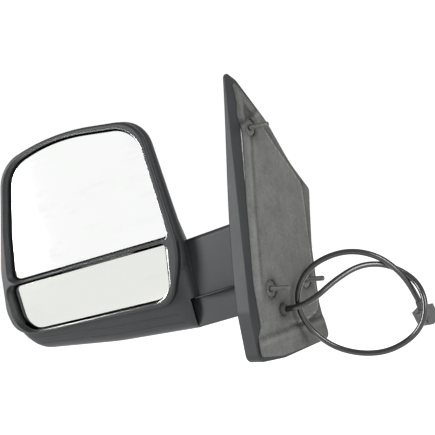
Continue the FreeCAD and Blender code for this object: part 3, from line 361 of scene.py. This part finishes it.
def foamSpots(spec, outline, holes):
    # the edge loops first, then a staggered grid between them
    turns = [2 * math.pi * part / spec["holeSides"] for part in range(spec["holeSides"])]
    loops = [outline]
    for centre, radius in holes:
        loops.append([centre + Vector((math.cos(turn), math.sin(turn))) * radius for turn in turns])
    spots, edges = [], []
    for loop in loops:
        start = len(spots)
        spots += loop
        edges += [(start + part, start + (part + 1) % len(loop)) for part in range(len(loop))]
    step = spec["grid"]
    room = step * 0.45
    firstRow = 0.7
    low = Vector((min(p.x for p in outline), min(p.y for p in outline)))
    high = Vector((max(p.x for p in outline), max(p.y for p in outline)))
    for row in range(int((high.y - low.y) / step)):
        for column in range(int((high.x - low.x) / step) + 1):
            spot = low + Vector(((column + row % 2 / 2) * step, row * step + firstRow))
            if insideLine(spot, outline) and distanceTo(spot, outline) > room:
                if all((spot - centre).length > radius + room for centre, radius in holes):
                    spots.append(spot)
    return spots, edges


def makeFoam(spec):
    outline = roundedOutline(spec["outline"], spec["grid"])
    border = roundedOutline(spec["border"], spec["grid"])
    holes = [(Vector(place), spec["studHole"]) for place in studSpec["places"]]
    holes.append((Vector(spec["outlet"]), spec["outletHole"]))
    spots, edges = foamSpots(spec, outline, holes)
    filled = geometry.delaunay_2d_cdt(spots, edges, [], 0, 1e-5)
    places, faces = filled[0], filled[2]
    build = bmesh.new()
    shade = build.verts.layers.float.new("foamShade")
    top, foot = [], []
    for place in places:
        edge = distanceTo(place, outline)
        height = foamHeight(spec, place, edge, border)
        top.append(build.verts.new(doorAxes @ (Vector((height, place.x, place.y)) * mm)))
        top[-1][shade] = foamShade(spec, place, edge, border)
        foot.append(build.verts.new(doorAxes @ (Vector((-spec["thickness"], place.x, place.y)) * mm)))
    for face in faces:
        centre = sum((places[index] for index in face), Vector((0, 0))) / len(face)
        if insideLine(centre, outline) and all((centre - hole).length >= radius for hole, radius in holes):
            build.faces.new([top[index] for index in face])
            build.faces.new([foot[index] for index in reversed(face)])
    partner = dict(zip(top, foot))
    for edge in [edge for edge in build.edges if edge.is_boundary]:
        first, second = edge.verts
        if first in partner and second in partner:
            build.faces.new((first, second, partner[second], partner[first]))
    loose = [vert for vert in build.verts if not vert.link_faces]
    bmesh.ops.delete(build, geom=loose, context="VERTS")
    bmesh.ops.recalc_face_normals(build, faces=build.faces)
    mesh = bpy.data.meshes.new("foamPad")
    build.to_mesh(mesh)
    build.free()
    return mesh


foam = newPiece("foamPad", makeFoam(foamShape), "base")
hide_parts("door_gasket")
print("foam pad: %d faces" % len(foam.data.polygons))

# dark ring in the split of the arm
splitSpec = {"place": (-53, -29, 17), "inner": 21, "outer": 44.5, "crown": 0.4, "low": 0.12, "high": 1.05,
             "sides": 96}


def splitRing(spec):
    axes = Matrix.Translation(Vector(spec["place"]) * mm) @ Matrix.Scale(mm, 4)
    low, high = spec["low"], spec["high"]
    profile = [(spec["inner"], low), (spec["outer"], low), (spec["outer"] + spec["crown"], (low + high) / 2),
               (spec["outer"], high), (spec["inner"], high)]
    return turnedMesh("splitRing", profile, axes, spec["sides"], hollow=True)


newPiece("splitRing", splitRing(splitSpec), "base", False)

# beads on the head
beadSpec = {"chinRidges": (7.0, 12.5), "ridge": 0.75, "ridgeRise": 0.15, "chinSpan": (-100, 92),
            "chinTop": 20, "lip": 0.55, "lipDepth": -4.6, "lipStep": 2, "middle": (0, 80),
            "degreesPerPoint": 2}
lowerLip = [(92.5, -8.6, 26), (107.3, 56.2, 6), (-107.8, 66.8, 8), (-108.4, 6.2, 27)]
upperLip = [(113.5, 59.0, 7), (115.6, 189, 36), (8, 212.4, 205), (-62.6, 198.2, 42), (-88.2, 126, 180),
            (-103, 68.2, 9)]


def headPlace(across, depth, up):
    return headAxes @ (Vector((across, depth, up)) * mm)


def housingSection(depth):
    # the outermost points of the housing at one depth, by their angle in the head's axes
    build = bmesh.new()
    build.from_mesh(nodes["housing_shell"].data)
    intoHead = headAxes.inverted() @ nodes["housing_shell"].matrix_world
    bmesh.ops.transform(build, matrix=intoHead, verts=build.verts)
    cut = bmesh.ops.bisect_plane(build, geom=build.verts[:] + build.edges[:] + build.faces[:],
                                 plane_co=(0, depth * mm, 0), plane_no=(0, 1, 0))
    bins = {}
    for item in cut["geom_cut"]:
        if isinstance(item, bmesh.types.BMVert):
            spot = Vector((item.co.x, item.co.z)) / mm
            away = spot - Vector(beadSpec["middle"])
            angle = round(math.degrees(math.atan2(away.y, away.x)) / beadSpec["degreesPerPoint"])
            if angle not in bins or away.length > bins[angle][0]:
                bins[angle] = (away.length, spot)
    build.free()
    return [bins[key][1] for key in sorted(bins)]


def smoothed(points, rounds=2):
    for _ in range(rounds):
        inside = [(a + b * 2 + c) / 4 for a, b, c in zip(points, points[1:], points[2:])]
        points = [points[0]] + inside + [points[-1]]
    return points


def chinRidge(depth):
    low, high = beadSpec["chinSpan"]
    points = [spot for spot in housingSection(depth) if spot.y < beadSpec["chinTop"] and low < spot.x < high]
    points = smoothed(sorted(points, key=lambda spot: spot.x))
    line = [headPlace(spot.x, depth, spot.y + beadSpec["ridgeRise"]) for spot in points]
    return tube("ridge", line, beadSpec["ridge"] * mm)


ridges = [chinRidge(depth) for depth in beadSpec["chinRidges"]]
newPiece("chinRidges", joined("chinRidges", ridges), "head")
for name, corners in (("upperLip", upperLip), ("lowerLip", lowerLip)):
    edge = roundedOutline(corners, beadSpec["lipStep"])
    line = [headPlace(spot.x, beadSpec["lipDepth"], spot.y) for spot in edge]
    newPiece(name, tube(name, line, beadSpec["lip"] * mm, True), "head")
print("head beads laid")


# shader maths
class Value:
    # wraps a number socket, so that an expression on it adds Math nodes
    def __init__(self, finish, socket):
        self.finish = finish
        self.socket = socket

    def join(self, operation, first, second=None, clamp=False):
        given = {0: first} if second is None else {0: first, 1: second}
        made = self.finish.node("ShaderNodeMath", {"operation": operation, "use_clamp": clamp}, given)
        return Value(self.finish, made.outputs[0])

    def __add__(self, other):
        return self.join("ADD", self, other)

    def __sub__(self, other):
        return self.join("SUBTRACT", self, other)

    def __rsub__(self, other):
        return self.join("SUBTRACT", other, self)

    def __mul__(self, other):
        return self.join("MULTIPLY", self, other)

    def clamped(self):
        return self.join("ADD", self, 0.0, True)

    __radd__ = __add__
    __rmul__ = __mul__


class Finish:
    # one material; every node but the Math ones comes from node()
    def __init__(self, name):
        self.material = bpy.data.materials.new(name)
        self.material.use_nodes = True
        self.tree = self.material.node_tree
        self.tree.nodes.clear()
        self.shader = self.node("ShaderNodeBsdfPrincipled")
        self.node("ShaderNodeOutputMaterial", {}, {"Surface": self.shader.outputs[0]})
        self.place = self.node("ShaderNodeTexCoord").outputs["Object"]

    def node(self, kind, settings=None, given=None):
        made = self.tree.nodes.new(kind)
        for key, setting in (settings or {}).items():
            setattr(made, key, setting)
        for key, thing in (given or {}).items():
            self.feed(made.inputs[key], thing)
        return made

    def feed(self, socket, thing):
        if isinstance(thing, Value):
            self.tree.links.new(thing.socket, socket)
        elif isinstance(thing, bpy.types.NodeSocket):
            self.tree.links.new(thing, socket)
        elif isinstance(thing, tuple) and len(thing) == 3 and socket.type == "RGBA":
            socket.default_value = (*thing, 1)
        else:
            socket.default_value = thing

    def noise(self, scale, detail=3, roughness=0.5, stretch=None):
        where = self.place
        if stretch is not None:
            where = self.node("ShaderNodeMapping", {}, {"Vector": self.place, "Scale": stretch}).outputs[0]
        given = {"Vector": where, "Scale": scale, "Detail": detail, "Roughness": roughness}
        return Value(self, self.node("ShaderNodeTexNoise", {}, given).outputs["Fac"])

    def cells(self, scale):
        given = {"Vector": self.place, "Scale": scale}
        return Value(self, self.node("ShaderNodeTexVoronoi", {"feature": "F1"}, given).outputs["Distance"])

    def mixed(self, share, low, high):
        made = self.node("ShaderNodeMix", {"data_type": "RGBA"})
        self.feed(made.inputs[0], share)
        self.feed(made.inputs[6], low)
        self.feed(made.inputs[7], high)
        return made.outputs[2]

    def set(self, **given):
        for key, thing in given.items():
            self.feed(self.shader.inputs[key.replace("_", " ")], thing)

    def bump(self, height, strength, distance, edge=0.0):
        given = {"Height": height, "Strength": strength, "Distance": distance}
        if edge:
            given["Normal"] = self.node("ShaderNodeBevel", {"samples": 4}, {"Radius": edge}).outputs[0]
        self.feed(self.shader.inputs["Normal"], self.node("ShaderNodeBump", {}, given).outputs[0])


# finishes
plasticSpec = {"base": (0.0055, 0.006, 0.0064), "pale": (0.0125, 0.0135, 0.0142),
               "grain": 950, "roughness": 0.4, "edge": 0.0012, "shine": 0.17}
bezelSpec = {"base": (0.0045, 0.005, 0.0055), "pale": (0.0095, 0.0102, 0.011),
             "grain": 1700, "roughness": 0.32, "edge": 0.0009, "shine": 0.2}
foamSpec = {"dark": (0.012, 0.0125, 0.012), "pale": (0.105, 0.107, 0.100), "cell": 900, "patch": 55}
mirrorSpec = {"colour": (0.93, 0.94, 0.93), "dip": 0.9, "roughness": 0.02}
convexSpec = {"colour": (0.79, 0.80, 0.76), "dip": 0.955, "roughness": 0.03}


def mouldedPlastic(name, spec):
    finish = Finish(name)
    broad = finish.noise(22, 4, 0.6)
    grain = finish.cells(spec["grain"])
    pebble = finish.noise(spec["grain"] * 0.45, 3, 0.55)
    scuff = (finish.noise(60, 5, 0.7, (1, 1, 7)) - 0.6).clamped() * 3
    finish.set(Base_Color=finish.mixed((broad * 0.7 + grain * 0.45).clamped(), spec["base"], spec["pale"]),
               Roughness=(broad * 0.14 + spec["roughness"] - scuff * 0.12 + grain * 0.08).clamped(),
               Specular_IOR_Level=spec["shine"])
    finish.bump(grain * 0.7 + pebble * 0.5, 0.42, 0.00016, spec["edge"])
    return finish.material


def foamRubber(name, spec):
    finish = Finish(name)
    patch = finish.noise(spec["patch"], 5, 0.65)
    speck = finish.noise(spec["cell"] * 0.55, 4, 0.75)
    pore = finish.cells(spec["cell"])
    streak = finish.noise(30, 3, 0.5, (1, 6, 1))
    # the foamShade attribute adds painted highlights and painted shade to the foam's colour
    paintedLightShade = Value(finish, finish.node("ShaderNodeAttribute", {"attribute_name": "foamShade"}).outputs["Fac"])
    tone = (patch * 0.5 + speck * 0.7 + streak * 0.2 + paintedLightShade * 1.1 - 0.82).clamped()
    finish.set(Base_Color=finish.mixed(tone, spec["dark"], spec["pale"]),
               Roughness=(speck * 0.15 + 0.78).clamped(), Specular_IOR_Level=0.25)
    finish.bump(pore * 0.8 + speck * 0.9 + patch * 0.6, 0.6, 0.0005, 0.0012)
    return finish.material


def silveredGlass(name, spec):
    finish = Finish(name)
    haze = finish.noise(9, 4, 0.6, (1, 1, 2.6))
    crease = (finish.noise(16, 5, 0.6, (1, 1, 3)) - 0.52).clamped() * 3
    dipped = tuple(part * spec["dip"] for part in spec["colour"])
    finish.set(Base_Color=finish.mixed((haze * 0.5 + crease).clamped(), spec["colour"], dipped),
               Metallic=1.0, Roughness=(haze * 0.02 + spec["roughness"]).clamped(), Coat_Weight=0.3,
               Coat_Roughness=0.01)
    return finish.material


def glossySleeve(name):
    finish = Finish(name)
    drift = finish.noise(45, 4, 0.6)
    fine = finish.noise(700, 2, 0.5)
    finish.set(Base_Color=finish.mixed(drift, (0.003, 0.003, 0.0035), (0.008, 0.007, 0.0075)),
               Roughness=(drift * 0.12 + fine * 0.08 + 0.12).clamped(), Specular_IOR_Level=0.35,
               Coat_Weight=0.12, Coat_Roughness=0.12)
    finish.bump(fine * 0.4 + drift, 0.25, 0.0003)
    return finish.material


def blackRubber(name):
    finish = Finish(name)
    bloom = finish.noise(180, 4, 0.6)
    finish.set(Base_Color=finish.mixed(bloom, (0.010, 0.010, 0.010), (0.028, 0.027, 0.026)),
               Roughness=(bloom * 0.2 + 0.5).clamped(), Specular_IOR_Level=0.35)
    finish.bump(bloom, 0.3, 0.0002, 0.0004)
    return finish.material


def metal(name, dark, pale, roughness, grain, stretch=(1, 1, 1), relief=0.15):
    finish = Finish(name)
    brushed = finish.noise(grain, 4, 0.6, stretch)
    stain = finish.noise(90, 4, 0.65)
    tone = (brushed * 0.5 + stain * 0.6 - 0.05).clamped()
    finish.set(Base_Color=finish.mixed(tone, dark, pale), Metallic=0.9,
               Roughness=(brushed * 0.2 + stain * 0.12 + roughness).clamped())
    finish.bump(brushed, relief, 0.00012, 0.0003)
    return finish.material


def plainMoulding(name, dark, pale, roughness, grain):
    finish = Finish(name)
    flow = finish.noise(40, 4, 0.6)
    fine = finish.noise(grain, 3, 0.6)
    finish.set(Base_Color=finish.mixed((flow * 0.6 + fine * 0.5).clamped(), dark, pale),
               Roughness=(fine * 0.12 + roughness).clamped(), Specular_IOR_Level=0.5)
    finish.bump(fine, 0.25, 0.00012, 0.0004)
    return finish.material


finishes = {
    "cover_plastic": mouldedPlastic("charcoalPlastic", plasticSpec),
    "bezel_plastic": mouldedPlastic("bezelPlastic", bezelSpec),
    "foam": foamRubber("foamRubber", foamSpec),
    "glass_mirror": silveredGlass("silveredGlass", mirrorSpec),
    "lead_sleeve": glossySleeve("glossySleeve"),
    "rubber": blackRubber("blackRubber"),
    "cast": metal("castAlloy", (0.33, 0.33, 0.34), (0.55, 0.55, 0.56), 0.42, 260, relief=0.4),
    "zinc_steel": metal("darkZinc", (0.03, 0.03, 0.029), (0.12, 0.118, 0.11), 0.26, 500),
    "steel": metal("turnedSteel", (0.40, 0.40, 0.41), (0.62, 0.62, 0.63), 0.2, 400, (1, 1, 8)),
    "spring_steel": metal("springSteel", (0.12, 0.12, 0.14), (0.25, 0.25, 0.28), 0.25, 300),
    "motor_can": metal("motorCan", (0.48, 0.48, 0.48), (0.66, 0.66, 0.65), 0.22, 300, (8, 1, 1)),
    "brass": metal("tinnedBrass", (0.55, 0.40, 0.16), (0.80, 0.62, 0.30), 0.24, 350),
    "heater_pad": plainMoulding("heaterFilm", (0.14, 0.10, 0.05), (0.24, 0.18, 0.09), 0.4, 500),
    "carrier_plastic": plainMoulding("carrierPlastic", (0.018, 0.018, 0.02), (0.04, 0.04, 0.042), 0.42, 900),
    "gear_plastic": plainMoulding("acetal", (0.60, 0.57, 0.48), (0.74, 0.71, 0.62), 0.36, 700),
    "connector": plainMoulding("connectorPlastic", (0.012, 0.012, 0.013), (0.03, 0.03, 0.031), 0.36, 800),
}
for part in frame["record"]["subparts"]:
    shell = nodes[part["node"]]
    shell.data.materials.clear()
    shell.data.materials.append(finishes[part["material_slot"]])
nodes["lower_glass"].data.materials[0] = silveredGlass("convexGlass", convexSpec)
pieceFinishes = {"lead": "lead_sleeve", "splitRing": "rubber", "threadedStuds": "zinc_steel",
                 "foamPad": "foam", "chinRidges": "cover_plastic", "upperLip": "bezel_plastic",
                 "lowerLip": "bezel_plastic"}
for name, slotName in pieceFinishes.items():
    bpy.data.objects[name].data.materials.append(finishes[slotName])
print("finishes: %d" % len(finishes))


# studio
studioSpec = {"floorDrop": 0.16, "floorSize": 40.0, "world": 1.03, "floorGlow": 0.35,
              "key": {"place": (-0.95, -1.35, 0.5), "aim": (-0.12, 0, 0.1), "size": (0.6, 0.6), "energy": 50},
              "side": {"place": (1.15, -0.5, 0.25), "aim": (-0.1, -0.05, 0.12), "size": (0.35, 0.9),
                       "energy": 22}}


def areaLight(name, spec):
    data = bpy.data.lights.new(name, "AREA")
    data.shape = "RECTANGLE"
    data.size, data.size_y = spec["size"]
    data.energy = spec["energy"]
    light = bpy.data.objects.new(name, data)
    bpy.context.scene.collection.objects.link(light)
    light.location = spec["place"]
    light.rotation_euler = (Vector(spec["aim"]) - Vector(spec["place"])).to_track_quat("-Z", "Y").to_euler()


def makeStudio(spec):
    level = cadBox[0][2] - spec["floorDrop"]
    build = bmesh.new()
    bmesh.ops.create_grid(build, x_segments=8, y_segments=8, size=spec["floorSize"],
                          matrix=Matrix.Translation((0, 0, level)))
    mesh = bpy.data.meshes.new("floor")
    build.to_mesh(mesh)
    build.free()
    floor = bpy.data.objects.new("floor", mesh)
    bpy.context.scene.collection.objects.link(floor)
    paper = Finish("palePaper")
    fibre = paper.noise(3, 4, 0.5)
    paper.set(Base_Color=paper.mixed(fibre, (0.90, 0.90, 0.90), (0.94, 0.94, 0.94)), Roughness=0.9,
              Specular_IOR_Level=0.05, Emission_Color=(1, 1, 1), Emission_Strength=spec["floorGlow"])
    floor.data.materials.append(paper.material)
    world = bpy.data.worlds.new("studio")
    world.use_nodes = True
    tree = world.node_tree
    tree.nodes["Background"].inputs[0].default_value = (1, 1, 1, 1)
    tree.nodes["Background"].inputs[1].default_value = spec["world"]
    bpy.context.scene.world = world
    areaLight("keyLight", spec["key"])
    areaLight("sideLight", spec["side"])


makeStudio(studioSpec)
bpy.context.scene.view_settings.view_transform = "Standard"
print("studio lit")

bpy.context.view_layer.update()
